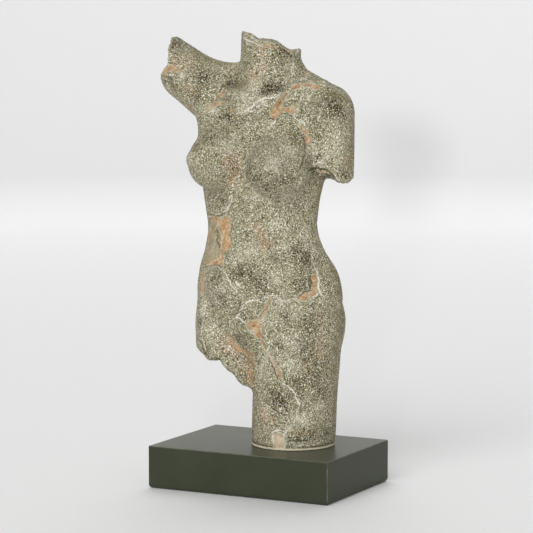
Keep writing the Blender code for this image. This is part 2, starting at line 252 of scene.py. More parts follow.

# %% Folds and undercut edges, darkened with painted shade
FOLDS_AND_PAINTED_SHADE_IN_PIXELS = {
    "left armpit": ((304.6, 142, 0.5), (305.6, 150, 0.3), (303.4, 162, 0.3), (299, 171, 0.1)),
    "left breast": ((264.6, 171.6, 0.4), (268.6, 174.8, 0.9), (273, 174.6, 0.5)),
    "knee": ((264, 400, 0.1), (269, 405.4, 0.3), (275.4, 410.6, 0.3), (284.6, 416, 0)),
    "foot": ((290, 440.6, 0), (298, 441, 0.3), (306, 440.6, 0.1)),
    "arm end": (
        (308.6, 171.4, 0.3), (312, 169.6, 1), (318, 168.2, 0.9), (325.6, 170, 1.1), (329.6, 174, 1.2),
        (334, 178.2, 1),
    ),
    "hip flake": ((310.8, 276, 0.5), (311.2, 283, 1.1), (310.6, 290, 0.9)),
    "hip flake low": ((309.4, 291, 0.6), (303, 293.4, 0.7), (296.6, 297.4, 0.4)),
    "belly pit": ((251.4, 325.6, 0.7), (253.6, 326.6, 1)),
    "belly": ((265.6, 309.6, 0.2), (262, 315, 0.4), (259.8, 319.6, 0.2)),
    "thigh": ((268.4, 358, 0.3), (273, 368, 0.6), (277, 376, 0.6), (279, 381, 0.3)),
    "right collar": ((223, 85.6, 0.5), (220.6, 88.6, 0.7), (219.2, 91.6, 0.5)),
    "collar": ((286.6, 92.6, 0.3), (280.6, 101.6, 0.5), (275, 110.6, 0.3)),
    "collar low": (
        (269.6, 117.2, 0.4), (276.6, 119.4, 0.5), (281.6, 113.4, 0.5), (287, 113.6, 0.6),
        (291.6, 115.4, 0.3),
    ),
    "armpit": ((302.4, 134, 0.4), (304.4, 139.6, 0.7), (306.4, 145.6, 0.4)),
    "flank": ((229.6, 277.6, 0.4), (232.6, 281.4, 0.8)),
    "hip edge": ((204.6, 267.6, 0.4), (209.6, 265, 0.5), (216, 263.6, 0.6), (221, 268, 0.5)),
    "waist flake": ((229.6, 219, 0.4), (231, 228, 0.5), (230, 236, 0.4), (232, 245, 0.3)),
    "neck": ((284, 49, 0.6), (288.6, 52.6, 1), (292.4, 56.6, 0.6)),
    "waist groove": ((215.6, 228.6, 0.2), (216.6, 234, 0.7), (215.6, 240, 0.4), (218.6, 246.6, 0.8)),
    "waist pit": ((211, 226.6, 0.4), (211.6, 229.6, 0.7)),
    "thigh rim": (
        (205.6, 354, 0.3), (208.6, 360.6, 0.7), (213.6, 359, 0.5), (218, 360.6, 0.5), (221.6, 364, 0.9),
        (226, 370.6, 0.4),
    ),
    "thigh rim low": ((232, 373.6, 0.2), (236, 379, 0.6), (240, 384, 0.4)),
    "waist top": ((208.6, 213, 0.2), (216, 217, 0.5), (222, 214.6, 0.5), (227.6, 210.6, 0.2)),
}
print(len(FOLDS_AND_PAINTED_SHADE_IN_PIXELS), "folds")

# %% Seams of rusty paint
SEAMS_IN_PIXELS = {
    "groin": ((224, 332, 1.6), (231, 341.6, 2.2), (239, 349, 2.4), (248, 352.6, 2.8)),
    "between the thighs": ((250.6, 353, 2.6), (252.4, 362, 1.9), (251.4, 372, 1.9), (251.6, 384, 1.4)),
    "right arm": ((163, 74, 2.6), (168, 68, 3), (175, 69.6, 1.6), (181, 71, 0.8)),
    "neck": ((262, 44, 1), (270, 46, 1.8), (276, 47.6, 1)),
    "arm end": ((319, 172.6, 1), (325, 173.8, 1.8), (328.6, 175.6, 0.8)),
    "armpit": ((188.6, 104, 1.6), (192, 109.6, 2)),
    "breastbone": ((228.6, 108.4, 1.2), (232, 109.6, 1.8), (235, 111.4, 1.2)),
    "flank": ((202.6, 271, 1.2), (203, 281, 2.4), (202.6, 292, 2)),
    "waist": ((211.6, 218.4, 2.4), (215, 220, 2.4), (219.6, 218.6, 1.6)),
    "waist side": ((211.6, 230, 0.9), (209.6, 238, 0.9)),
    "waist foot": ((203.6, 264, 1.4), (210, 261.6, 2), (218, 260.6, 3), (221, 254, 1.6)),
    "waist low": ((227, 240, 2), (229, 244.6, 2.2)),
    "neck corner": ((287.6, 49, 0.8), (292.6, 50.4, 1.6)),
}
print(len(SEAMS_IN_PIXELS), "seams")

# %% Outlines of lost flakes
OCHRE_OUTLINES = {
    "hip": (
        (312, 276), (315, 274.5), (317.4, 276), (318.2, 283), (318.6, 290), (315, 296), (309, 298),
        (304, 300.6), (299, 300), (296, 298.6), (300, 295.6), (304, 293.6), (309, 291.4), (312, 292),
        (313, 286),
    ),
    "belly": (
        (247, 323), (250, 321.4), (257, 321), (261, 325), (260.6, 330), (263, 337), (259, 338.6),
        (255, 336), (253, 329.6), (249, 329.6), (246.6, 327),
    ),
    "foot": (
        (272, 434), (276, 432.6), (281, 434.6), (283.6, 438), (283.4, 444), (283.6, 453), (275, 453),
        (273.4, 445),
    ),
    "collar": (
        (269, 113.4), (272, 109), (276, 103), (281, 97), (286, 92.6), (286.4, 95), (281.6, 103.6),
        (278.6, 109.6), (282, 107.6), (286, 107), (290, 108), (293.4, 105), (296.4, 106.6), (296, 110.6),
        (292, 114), (287, 111.6), (283, 111), (280, 114), (276.6, 118), (272.6, 117.6),
    ),
    "shoulder": (
        (290.6, 87.4), (297, 83.6), (307, 83), (313, 84), (320, 86), (321, 87.6), (316, 89.6),
        (312, 87.6), (306, 85.8), (300, 86.6), (293, 89.4),
    ),
    "armpit": ((305, 136), (309, 135), (311.4, 138), (310.4, 142), (307.6, 145), (305, 142)),
    "armpit bead": ((301, 124.6), (304, 125), (306.6, 129.6), (307, 134), (303.6, 133), (301.4, 129)),
    "right collar": ((222, 91), (225.4, 90.4), (225, 93), (220, 97), (217, 99), (215.6, 97.4), (219, 94)),
    "right collar low": (
        (205, 108.6), (209, 105), (214, 101.4), (219, 102.4), (226, 101.6), (226, 104), (219, 105),
        (213, 105), (208, 110), (205, 110.6),
    ),
    "waist": (
        (217, 220), (222, 219), (227, 216), (229.4, 222), (230, 230), (228, 234), (231.4, 243),
        (228, 249), (223, 252), (220.6, 250), (221, 244), (222, 238), (219, 230),
    ),
    "waist low": (
        (216, 260), (220.6, 257), (222.4, 263), (220, 266), (214, 264.6), (208, 266.6), (211, 262.6),
    ),
    "flank": (
        (201, 270), (204, 273), (203.6, 281), (203.6, 287), (205, 292), (202, 295), (199.6, 288),
        (200, 279),
    ),
}
WORN_OUTLINES = {
    "waist": (
        (208, 219), (213, 215.6), (219, 219), (228, 215.6), (230.6, 226), (229.4, 233), (232, 243.6),
        (227.6, 251), (223, 256), (222, 265), (214, 262.6), (204, 265.6), (198, 262), (198, 246),
        (202, 236), (206, 228),
    ),
}
OCHRE_BEHIND_OUTLINES = {
    "shoulder blade": ((33, 398), (42, 392), (54, 386), (58, 376), (50, 380), (44, 382), (38, 390)),
    "small of the back": (
        (5, 238), (-6, 233), (-16, 230), (-22, 214), (-32, 208), (-18, 210), (-10, 222), (0, 228),
    ),
    "seat": ((-47, 143), (-54, 134), (-52, 120), (-60, 109), (-62, 124), (-58, 134)),
    "leg": ((33, 20), (40, 12), (44, -3), (34, -3), (36, 8)),
}
WORN_BEHIND_OUTLINES = {
    "small of the back": ((8, 240), (-10, 236), (-28, 226), (-36, 206), (-18, 204), (2, 214), (12, 228)),
}
print(len(OCHRE_OUTLINES) + len(OCHRE_BEHIND_OUTLINES), "flakes and", len(WORN_OUTLINES) + 1, "worn patches")

# %% Blotches of thin paint, of painted shade and of a painted highlight, each with its radius in mm
# Umber in front, partly painted shade: under the breasts, in the hollows by the collarbones and down the
# figure's left side
UMBER_AND_SHADE_IN_PIXELS = (
    (232, 84, 9), (262, 90.5, 7), (270, 90, 7), (266, 90, 7), (280, 88, 7), (330, 101, 13), (331, 103, 9),
    (333, 109, 8), (315, 123, 5), (205, 138, 9), (226, 117, 8), (238, 121, 6), (248, 170, 11),
    (256, 177, 9), (272, 174, 5), (284, 182, 7), (317, 161, 5), (268, 187, 7), (296, 136, 6),
    (222, 198, 8), (238, 268, 9), (297, 252, 10), (308, 262, 9), (262, 287, 13), (247, 275, 9),
    (302, 285, 9), (214, 277, 9), (221, 300, 9), (175, 44, 11), (169, 80, 10), (197, 74, 9), (205, 78, 8),
    (247, 60, 7), (282, 52, 7), (240, 318, 8), (240, 338, 9), (288, 316, 9), (310, 322, 9), (200, 320, 7),
    (205, 352, 7), (276, 345, 7), (276, 396, 10), (283, 405, 9), (270, 360, 7), (298, 437, 7),
    (310, 437, 6), (325, 434, 8), (322, 392, 9), (214, 366, 6), (240, 383, 8), (345, 175, 7),
    (314, 172, 6), (322, 174, 6), (328, 177, 6), (318, 173, 6), (304, 350, 16), (316, 372, 12),
    (295, 385, 10), (301, 411, 6), (233, 281, 3), (196, 98, 8), (217, 236, 4),
)
# Lime wash in front; the blotches along the lit rim just under the left breast are a painted highlight
LIME_WASH_AND_HIGHLIGHT_IN_PIXELS = (
    (251, 96, 10), (243, 107, 6), (227, 147, 9), (337, 137, 9), (333, 152, 9), (256, 195, 6),
    (267, 200, 6), (284, 198, 7), (300, 183, 6), (312, 150, 7), (276, 224, 9), (304, 234, 8),
    (238, 257, 9), (252, 251, 8), (284, 246, 7), (238, 286, 4), (274, 280, 7), (204, 308, 8),
    (212, 250, 7), (268, 322, 8), (280, 305, 9), (212, 330, 9), (294, 312, 7), (290, 365, 11),
    (261, 372, 7), (300, 420, 8), (257, 86, 7), (292, 65, 6), (182, 74, 7), (306, 96, 7), (296, 345, 10),
    (268, 358, 8), (222, 288, 5), (320, 407, 6), (321, 165, 4), (304, 418, 7), (213, 111, 5),
    (276, 160, 8), (290, 150, 8), (279, 442, 9),
)
RUST_IN_PIXELS = (
    (236, 157, 8), (234, 168, 8), (232, 182, 8), (258, 228, 8), (264, 243, 9), (320, 345, 10),
    (322, 355, 8), (252, 76, 9), (246, 84, 7), (185, 62, 12), (170, 66, 7), (234, 66, 8), (262, 411, 9),
    (268, 420, 9), (234, 350, 9), (244, 366, 9), (248, 380, 6), (226, 345, 7), (306, 364, 7),
    (300, 432, 7), (306, 74, 6), (348, 160, 6), (188, 92, 8), (262, 70, 8), (312, 437, 6), (322, 322, 6),
    (227, 160, 7), (262, 52, 6),
)
# Places that the brush of lime never reached keep the plain olive coat. Down the figure's left flank
# and the outside of its left arm these darker blotches are also painted shade, where the light falls off
BARE_AND_SIDE_SHADE_IN_PIXELS = (
    (320, 200, 9), (320, 214, 9), (321, 228, 9), (322, 188, 9), (352, 130, 8), (352, 148, 8),
    (350, 164, 7), (335, 95, 7), (318, 79, 7), (340, 290, 9), (342, 310, 10), (341, 330, 10),
    (336, 350, 9), (335, 372, 8), (335, 392, 8), (334, 410, 8), (256, 392, 5), (255, 408, 6),
    (254, 424, 6), (300, 66, 6), (245, 48, 5), (208, 58, 7), (222, 63, 7), (198, 52, 7), (330, 258, 8),
    (334, 272, 8), (312, 178, 6), (308, 164, 5),
)
print(len(UMBER_AND_SHADE_IN_PIXELS), "umber blotches in front")

# %% Routes and blotches of the back
# In millimetres to the figure's left and above the plinth
LIME_BEHIND = {
    "shoulder blade": (
        (-58, 400, 0.4), (-44, 384, 0.8), (-38, 360, 0.9), (-22, 344, 0.8), (-16, 322, 0.4),
    ),
    "shoulder blade branch": ((-38, 360, 0.8), (-56, 348, 0.7), (-66, 330, 0.3)),
    "small of the back": ((60, 262, 0.4), (40, 250, 0.8), (22, 252, 0.8), (4, 236, 0.9), (-10, 238, 0.4)),
    "seat": ((58, 176, 0.4), (46, 158, 0.8), (52, 138, 0.9), (40, 118, 0.8), (44, 92, 0.4)),
    "leg": ((20, 84, 0.4), (30, 62, 0.8), (24, 40, 0.8), (34, 18, 0.5)),
    "left arm": ((84, 380, 0.4), (76, 362, 0.7), (82, 344, 0.7), (78, 326, 0.4)),
    "right arm": ((-92, 428, 0.4), (-102, 420, 0.7), (-116, 430, 0.7), (-124, 424, 0.4)),
}
SEAMS_BEHIND = {
    "shoulder blade": ((34, 396, 1), (46, 386, 2), (58, 376, 1)),
    "small of the back": ((4, 236, 1), (-10, 226, 2.4), (-30, 208, 1)),
    "seat": ((-48, 142, 1.2), (-56, 130, 2), (-60, 110, 1.4)),
    "leg": ((34, 18, 1), (39, 6, 2)),
}
UMBER_BEHIND = (
    (-60, 412, 11), (-20, 424, 9), (44, 410, 12), (70, 346, 9), (-44, 330, 12), (14, 300, 13),
    (-10, 262, 9), (46, 232, 11), (-46, 196, 12), (8, 160, 10), (58, 140, 12), (-30, 120, 10),
    (44, 90, 9), (30, 24, 10), (-110, 440, 9),
)
LIME_WASH_BEHIND = (
    (-36, 398, 10), (16, 380, 10), (60, 376, 8), (-60, 300, 10), (30, 268, 9), (-24, 230, 10),
    (70, 190, 9), (-52, 160, 10), (30, 130, 9), (52, 60, 9), (-92, 436, 8),
)
RUST_BEHIND = (
    (-6, 396, 9), (-60, 360, 9), (50, 310, 9), (-20, 280, 8), (16, 210, 10), (-64, 150, 9), (62, 104, 9),
    (40, 40, 9),
)
BARE_BEHIND = ((-70, 420, 12), (64, 300, 12), (-56, 260, 12), (80, 150, 14), (-60, 200, 10), (10, 100, 9))
print(len(UMBER_AND_SHADE_IN_PIXELS) + len(UMBER_BEHIND), "umber blotches")

# %% [markdown]
# ## The skin
#
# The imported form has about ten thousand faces, each some 6 mm wide, which is right for the figure's
# shape and far too coarse for its damage. Subdivision rounds the facets off, except at the rims of
# the breaks, which are creased first. Rounding pulls a form in, so its cage is pushed out until the
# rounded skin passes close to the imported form's own points again. A voxel remesh then gives even
# faces a little over a millimetre wide, so every crack finds points to bend, wherever it runs.
# Sculpting by hand would start the same way.


# %% Read and write all the points at once
def plain_mesh(obj, name):
    """A new mesh of the object with its modifiers worked in."""
    mesh = bpy.data.meshes.new_from_object(obj.evaluated_get(bpy.context.evaluated_depsgraph_get()))
    mesh.name = name
    return mesh


def points_of(mesh):
    values = np.empty(len(mesh.vertices) * 3, np.float32)
    mesh.vertices.foreach_get("co", values)
    return values.reshape(-1, 3).astype(float)


def normals_of(mesh):
    values = np.empty(len(mesh.vertices) * 3, np.float32)
    mesh.vertex_normals.foreach_get("vector", values)
    return values.reshape(-1, 3).astype(float)


def place_points(mesh, places):
    mesh.vertices.foreach_set("co", np.asarray(places, np.float32).ravel())
    mesh.update()


def store(mesh, name, values, kind="FLOAT"):
    """Keeps a number or a vector for each point of a mesh, for nodes to read by its name."""
    layer = mesh.attributes.get(name) or mesh.attributes.new(name, kind, "POINT")
    field = "value" if kind == "FLOAT" else "vector"
    layer.data.foreach_set(field, np.asarray(values, np.float32).ravel())


# %% Round the facets and keep the rims
RIM_ANGLE = radians(34)
FITTING_ROUNDS = 3
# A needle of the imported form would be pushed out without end
MOST_PUSH = 1.6 * MM
SKIN_CELL = 1.15 * MM
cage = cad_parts["torso"].data.copy()
bm = bmesh.new()
bm.from_mesh(cage)
bmesh.ops.remove_doubles(bm, verts=bm.verts, dist=0.001 * MM)
crease = bm.edges.layers.float.new("crease_edge")
for edge in bm.edges:
    edge[crease] = 1.0 if edge.calc_face_angle(0.0) > RIM_ANGLE else 0.0
bm.to_mesh(cage)
bm.free()
skin = bpy.data.objects.new("torso skin", cage)
bpy.context.scene.collection.objects.link(skin)
rounding = skin.modifiers.new("Rounding", "SUBSURF")
rounding.levels = rounding.render_levels = 2
packed_points = points_of(cage)
for _ in range(FITTING_ROUNDS):
    rounded = points_of(plain_mesh(skin, "rounded"))[: len(packed_points)]
    push = np.clip(points_of(cage) - rounded, -MOST_PUSH, MOST_PUSH)
    place_points(cage, packed_points + push)
    off = np.percentile(np.abs(packed_points - rounded), 99) / MM
    print("rounded skin off by", round(off, 2), "mm, save for one point in a hundred")
evening = skin.modifiers.new("Evening", "REMESH")
evening.mode = "VOXEL"
evening.voxel_size = SKIN_CELL
easing = skin.modifiers.new("Easing", "SMOOTH")
easing.iterations = 1
fine = plain_mesh(skin, "torso skin")
skin.modifiers.clear()
skin.data = fine
points = points_of(fine)
normals = normals_of(fine)
skin_tree = BVHTree.FromPolygons(
    points.tolist(), [tuple(polygon.vertices) for polygon in fine.polygons]
)
print("the fine skin has", len(points), "points")

# %% [markdown]
# ## Routes laid on the skin
#
# A route is walked in short steps, and each step is cast on to the skin. A crack in cast stone isn't
# straight between its turns, so each step is also nudged aside by a smooth noise. What matters later
# is how far any point of the skin is from the nearest route, less that route's half width.

# %% Cast the routes
PLINTH_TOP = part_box("plinth")[1].z
STEP = 0.6 * MM
# A crack wavers by about half a millimetre, with a new bend every 2 mm
BEND = 2.2 * MM
WANDER = 0.55 * MM
PIXEL = CAMERA_DISTANCE / FOCAL_PIXELS
# Further than any route or outline matters, in millimetres
FAR = 99.0
# A ray at the back starts this far behind the figure, in metres
WELL_BEHIND = 1.0
picture_right = Vector((cos(CAMERA_AZIMUTH), sin(CAMERA_AZIMUTH), 0.0))
picture_up = to_camera.cross(picture_right)


def seen_at(u, v):
    """The point of the skin that the camera sees at a pixel."""
    middle = PICTURE_SIDE / 2
    across = picture_right * ((u - middle) / FOCAL_PIXELS)
    ray = across - picture_up * ((v - middle) / FOCAL_PIXELS) - to_camera
    return skin_tree.ray_cast(camera.location, ray.normalized())[0]


def from_behind(x, z):
    """The point of the back at x to the figure's left and z above the plinth, in millimetres."""
    start = Vector((x * MM, WELL_BEHIND, z * MM + PLINTH_TOP))
    return skin_tree.ray_cast(start, Vector((0.0, -1.0, 0.0)))[0]


def walk(routes, cast, unit):
    """Points and half widths along the routes, whose coordinates count in steps of one unit."""
    places, widths = [], []
    for number, route in enumerate(routes.values()):
        route = np.array(route)
        lengths = np.linalg.norm(np.diff(route[:, :2], axis=0), axis=1) * unit
        along = np.concatenate([[0.0], np.cumsum(lengths)])
        at = np.linspace(0.0, along[-1], max(2, int(along[-1] / STEP)))
        turns = np.arange(0.0, along[-1] + BEND, BEND)
        rng = np.random.default_rng(number)
        sideways = [np.interp(at, turns, rng.normal(0.0, WANDER / unit, len(turns))) for _ in "uv"]
        a, b, width = (np.interp(at, along, route[:, column]) for column in range(3))
        for here in zip(a + sideways[0], b + sideways[1], width):
            found = cast(*here[:2])
            if found is not None:
                places.append(found)
                widths.append(here[2])
    return places, widths


def finder(places):
    """A search tree that finds the nearest of some places."""
    search = KDTree(len(places))
    for i, place in enumerate(places):
        search.insert(place, i)
    search.balance()
    return search


def distance_to(*walked):
    """How far each point of the skin is outside the nearest route's edge, in millimetres."""
    places = [place for found, _ in walked for place in found]
    widths = np.array([width for _, found in walked for width in found])
    search = finder(places)
    nearest = np.array([search.find(point)[1:] for point in points.tolist()])
    return nearest[:, 1] / MM - widths[nearest[:, 0].astype(int)]


lime = distance_to(walk(LIME_IN_PIXELS, seen_at, PIXEL), walk(LIME_BEHIND, from_behind, MM))
fold_and_shade = distance_to(walk(FOLDS_AND_PAINTED_SHADE_IN_PIXELS, seen_at, PIXEL))
seam = distance_to(walk(SEAMS_IN_PIXELS, seen_at, PIXEL), walk(SEAMS_BEHIND, from_behind, MM))
ochre_line = distance_to(walk(OCHRE_IN_PIXELS, seen_at, PIXEL))
print("points in lime, folds and seams:", (lime < 0).sum(), (fold_and_shade < 0).sum(), (seam < 0).sum())

# %% [markdown]
# ## Flakes laid on the skin
#
# An outline is compared with each point of the skin where that point would be seen, and only on skin
# that faces that way. A point's distance to the outline is negative inside it, so one number says
# both where the flake is and how near its edge any point lies.


# %% Measure the outlines
# Skin that is turned nearly edge on takes no flake
EDGE_ON = 0.03


def outside(outlines, across, up, facing, unit):
    """How far each point lies outside the nearest outline, in millimetres."""
    least = np.full(len(points), FAR)
    for outline in outlines.values():
        corners = np.array(outline, float)
        nearest = np.full(len(points), FAR)
        within = np.zeros(len(points), bool)
        for (a, b), (c, d) in zip(corners, np.roll(corners, -1, axis=0)):
            share = ((across - a) * (c - a) + (up - b) * (d - b)) / ((c - a) ** 2 + (d - b) ** 2)
            share = np.clip(share, 0, 1)
            nearest = np.minimum(nearest, np.hypot(across - a - share * (c - a), up - b - share * (d - b)))
            if d != b:
                within ^= ((b > up) != (d > up)) & (across < a + (up - b) * (c - a) / (d - b))
        least = np.minimum(least, np.where(within, -nearest, nearest))
    return np.where(facing > EDGE_ON, least * unit, FAR)


towards = points - np.array(camera.location)
depth = -(towards @ np.array(to_camera))
pixel_u = PICTURE_SIDE / 2 + towards @ np.array(picture_right) / depth * FOCAL_PIXELS
pixel_v = PICTURE_SIDE / 2 - towards @ np.array(picture_up) / depth * FOCAL_PIXELS
seen = (pixel_u, pixel_v, normals @ np.array(to_camera), PIXEL / MM)
above_plinth = points[:, 2] / MM - PLINTH_TOP / MM
behind = (points[:, 0] / MM, above_plinth, normals[:, 1], 1.0)
ochre = np.minimum(outside(OCHRE_OUTLINES, *seen), outside(OCHRE_BEHIND_OUTLINES, *behind))
ochre = np.minimum(ochre, ochre_line)
worn = np.minimum(outside(WORN_OUTLINES, *seen), outside(WORN_BEHIND_OUTLINES, *behind))
print("points in lost flakes and worn patches:", (ochre < 0).sum(), (worn < 0).sum())


# %% Spread the washes
# A blotch fades to less than half its strength at its radius, and where several meet they add up
FADING = 0.9
MOST_WASH = 1.5


def wash(blotches, cast):
    """How strongly each point lies in some soft round blotches: 1 in the middle of a lone one."""
    strength = np.zeros(len(points))
    for a, b, radius in blotches:
        centre = cast(a, b)
        if centre is not None:
            distance = np.linalg.norm(points - centre, axis=1) / MM
            strength = strength + np.exp(-((FADING * distance / radius) ** 2))
    return np.minimum(strength, MOST_WASH)


umber_wash_and_shade = np.maximum(wash(UMBER_AND_SHADE_IN_PIXELS, seen_at), wash(UMBER_BEHIND, from_behind))
lime_wash_and_highlight = np.maximum(wash(LIME_WASH_AND_HIGHLIGHT_IN_PIXELS, seen_at), wash(LIME_WASH_BEHIND, from_behind))
rust_wash = np.maximum(wash(RUST_IN_PIXELS, seen_at), wash(RUST_BEHIND, from_behind))
bare_and_side_shade = np.maximum(wash(BARE_AND_SIDE_SHADE_IN_PIXELS, seen_at), wash(BARE_BEHIND, from_behind))
print("points well inside each wash:", [(w > 0.5).sum() for w in (umber_wash_and_shade, lime_wash_and_highlight, rust_wash, bare_and_side_shade)])

# %% [markdown]
# ## The breaks
#
# Neck, arms and thigh end in breaks. Cast stone breaks in chips a few millimetres wide, each a small
# flat at its own depth, so a broken face gets steps and points instead of waves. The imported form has
# the faces of the breaks with their jagged rims. Here every point learns how near a broken face it is
# and which way that face looks. The weathering below then sinks the chips along that way.

# %% Find the breaks
# The way each break faces, and the lowest and highest corner of the room it lies in, in millimetres
# from the middle of the plinth's top
BREAKS = {
    "thigh": ((-0.4, -0.15, -0.9), (-110, -80, 50), (-5, 80, 120)),
    "left arm": ((0.0, -0.1, -1.0), (55, -60, 290), (120, 60, 335)),
    "right arm": ((-1.0, 0.0, 0.0), (-150, -40, 395), (-112, 60, 490)),
    "neck": ((0.0, 0.0, 1.0), (-50, -40, 450), (50, 60, 490)),
}
BREAK_REACH = 9.0
# How squarely the skin has to face that way before it counts as broken, and over what it eases in
SQUARE_ENOUGH = 0.55
SQUARE_EASE = 0.25
where = points / MM - (0.0, 0.0, PLINTH_TOP / MM)
near_break = np.zeros(len(points))
broken = np.zeros(len(points))
break_way = np.zeros_like(points)
for away, lowest, highest in BREAKS.values():
    away = np.array(away) / np.linalg.norm(away)
    there = ((where > lowest) & (where < highest)).all(1)
    facing = np.clip((normals @ away - SQUARE_ENOUGH) / SQUARE_EASE, 0, 1) * there
    face = finder(points[facing > 0.9].tolist())
    for i in np.flatnonzero(there):
        close = 1 - face.find(points[i])[2] / MM / BREAK_REACH
        if close > near_break[i]:
            near_break[i] = close
            break_way[i] = away
    broken = np.maximum(broken, facing)
print("points on and near the breaks:", (broken > 0.5).sum(), (near_break > 0).sum())

# %% Keep all measures with the skin
for name, values in (
    ("lime_mm", lime),
    ("ochre_mm", ochre),
    ("worn_mm", worn),
    ("fold_and_shade_mm", fold_and_shade),
    ("seam_mm", seam),
    ("above_mm", above_plinth),
    ("umber_wash_and_shade", umber_wash_and_shade),
    ("lime_wash_and_highlight", lime_wash_and_highlight),
    ("rust_wash", rust_wash),
    ("bare_and_side_shade", bare_and_side_shade),
    ("broken", broken),
    ("near_break", near_break),
):
    store(fine, name, values)
store(fine, "break_way", break_way, "FLOAT_VECTOR")
print(len(fine.attributes), "attributes on the skin")

# %% [markdown]
# ## Weathering by nodes
#
# Grain, lost flakes, cracks and chips follow rules, so Geometry Nodes carve them. Each point moves
# along its normal by an amount worked out from noise and from its distance to the routes, and near a
# break it also moves back along the way the break faces. All of it goes inwards, as wear does, so the
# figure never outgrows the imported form. The sizes are inputs of the tree, so they can be changed
# without touching its nodes.

# %% Name the sizes of the weathering
tree = weather = bpy.data.node_groups.new("stone weathering", "GeometryNodeTree")
tree.interface.new_socket("Geometry", in_out="INPUT", socket_type="NodeSocketGeometry")
for name, value in (
    ("Grain height", 0.55 * MM),
    ("Swell height", 0.8 * MM),
    ("Flake depth", 1.3 * MM),
    ("Worn depth", 1.0 * MM),
    ("Crack depth", 0.55 * MM),
    ("Fold depth", 0.9 * MM),
    ("Chip depth", 2.8 * MM),
    ("Foot groove", 1.0 * MM),
):
    socket = tree.interface.new_socket(name, in_out="INPUT", socket_type="NodeSocketFloat")
    socket.default_value = value
tree.interface.new_socket("Stone", in_out="INPUT", socket_type="NodeSocketMaterial")
tree.interface.new_socket("Geometry", in_out="OUTPUT", socket_type="NodeSocketGeometry")
given = add(tree, "NodeGroupInput").outputs
place = add(tree, "GeometryNodeInputPosition")
known = {
    name: add(tree, STORED, {"data_type": "FLOAT"}, {"Name": name})
    for name in ("ochre_mm", "worn_mm", "lime_mm", "fold_and_shade_mm", "bare_and_side_shade", "above_mm", "near_break")
}
print("nodes so far:", len(tree.nodes))

# %% How deep each point sinks
# A flake's edge is ragged, so noise moves it in and out
ragged = add(tree, MATH, TIMES, {
    0: add(tree, MATH, MINUS, {
        0: add(tree, NOISE, {}, {"Vector": place, "Scale": 1 / (3.2 * MM), "Detail": 4.0}),
        1: 0.5,
    }),
    1: 3.4,
})
flake = add(tree, RANGE, SMOOTH, {
    "Value": add(tree, MATH, PLUS, {0: known["ochre_mm"], 1: ragged}),
    "From Min": 0.4, "From Max": -0.3,
})
worn = add(tree, RANGE, SMOOTH, {
    "Value": add(tree, MATH, PLUS, {0: known["worn_mm"], 1: ragged}),
    "From Min": 0.4, "From Max": -0.3,
})
crack = add(tree, RANGE, SMOOTH, {"Value": known["lime_mm"], "From Min": 0.9, "From Max": -0.4})
crease = add(tree, RANGE, SMOOTH, {"Value": known["fold_and_shade_mm"], "From Min": 1.9, "From Max": -0.6})
grain = add(tree, MATH, MINUS, {
    0: add(tree, NOISE, {}, {
        "Vector": place, "Scale": 1 / (3.4 * MM), "Detail": 4.0, "Distortion": 1.4,
    }),
    1: 0.72,
})
grain = add(tree, MATH, TIMES, {
    0: grain,
    1: add(tree, RANGE, SMOOTH, {
        "Value": add(tree, MATH, PLUS, {0: worn, 1: known["bare_and_side_shade"]}),
        "From Min": 1.6, "From Max": 0.0,
    }),
})
swell = add(tree, MATH, MINUS, {
    0: add(tree, NOISE, {}, {"Vector": place, "Scale": 1 / (19.0 * MM), "Detail": 2.0}),
    1: 0.72,
})
floor = add(tree, MATH, PLUS, {
    0: add(tree, NOISE, {}, {"Vector": place, "Scale": 1 / (5.0 * MM), "Detail": 3.0}),
    1: 0.4,
})
height = add(tree, MATH, TIMES, {0: grain, 1: given["Grain height"]})
height = add(tree, MATH, PLUS, {
    0: height,
    1: add(tree, MATH, TIMES, {0: swell, 1: given["Swell height"]}),
})
for share, depth in (
    (add(tree, MATH, TIMES, {0: flake, 1: floor}), "Flake depth"),
    (add(tree, MATH, TIMES, {0: worn, 1: floor}), "Worn depth"),
    (crack, "Crack depth"),
    (crease, "Fold depth"),
):
    height = add(tree, MATH, MINUS, {0: height, 1: add(tree, MATH, TIMES, {0: share, 1: given[depth]})})
# The cast narrows just above the thin lip it stands on
above = known["above_mm"]
groove = add(tree, MATH, TIMES, {
    0: add(tree, RANGE, SMOOTH, {"Value": above, "From Min": 2.4, "From Max": 3.6}),
    1: add(tree, RANGE, SMOOTH, {"Value": above, "From Min": 9.0, "From Max": 4.5}),
})
height = add(tree, MATH, MINUS, {
    0: height,
    1: add(tree, MATH, TIMES, {0: groove, 1: given["Foot groove"]}),
})
height = add(tree, MATH, TIMES, {
    0: height,
    1: add(tree, RANGE, SMOOTH, {"Value": above, "From Min": 0.0, "From Max": 0.8}),
})
carve = add(tree, ARROWS, STRETCH, {0: add(tree, "GeometryNodeInputNormal"), "Scale": height})
print("nodes so far:", len(tree.nodes))

# %% Chips at the breaks
# Each chip is one cell of the pattern, flat at its own depth
bent = add(tree, ARROWS, PLUS, {
    0: place,
    1: add(tree, ARROWS, STRETCH, {
        0: add(tree, NOISE, {}, {"Vector": place, "Scale": 1 / (4.0 * MM), "Detail": 3.0}).outputs[1],
        "Scale": 3.0 * MM,
    }),
})
depths = 0.0
for chip_mm, share in ((6.5, 0.6), (3.2, 0.4)):
    cells = add(tree, "ShaderNodeTexVoronoi", {}, {"Vector": bent, "Scale": 1 / (chip_mm * MM)})
    depths = add(tree, MATH, PLUS, {
        0: add(tree, MATH, TIMES, {0: cells.outputs["Color"], 1: share}),
        1: depths,
    })
depths = add(tree, MATH, TIMES, {
    0: add(tree, MATH, TIMES, {0: depths, 1: known["near_break"]}),
    1: given["Chip depth"],
})
chips = add(tree, ARROWS, STRETCH, {
    0: add(tree, STORED, {"data_type": "FLOAT_VECTOR"}, {"Name": "break_way"}),
    "Scale": add(tree, MATH, TIMES, {0: depths, 1: -1.0}),
})
print("nodes so far:", len(tree.nodes))

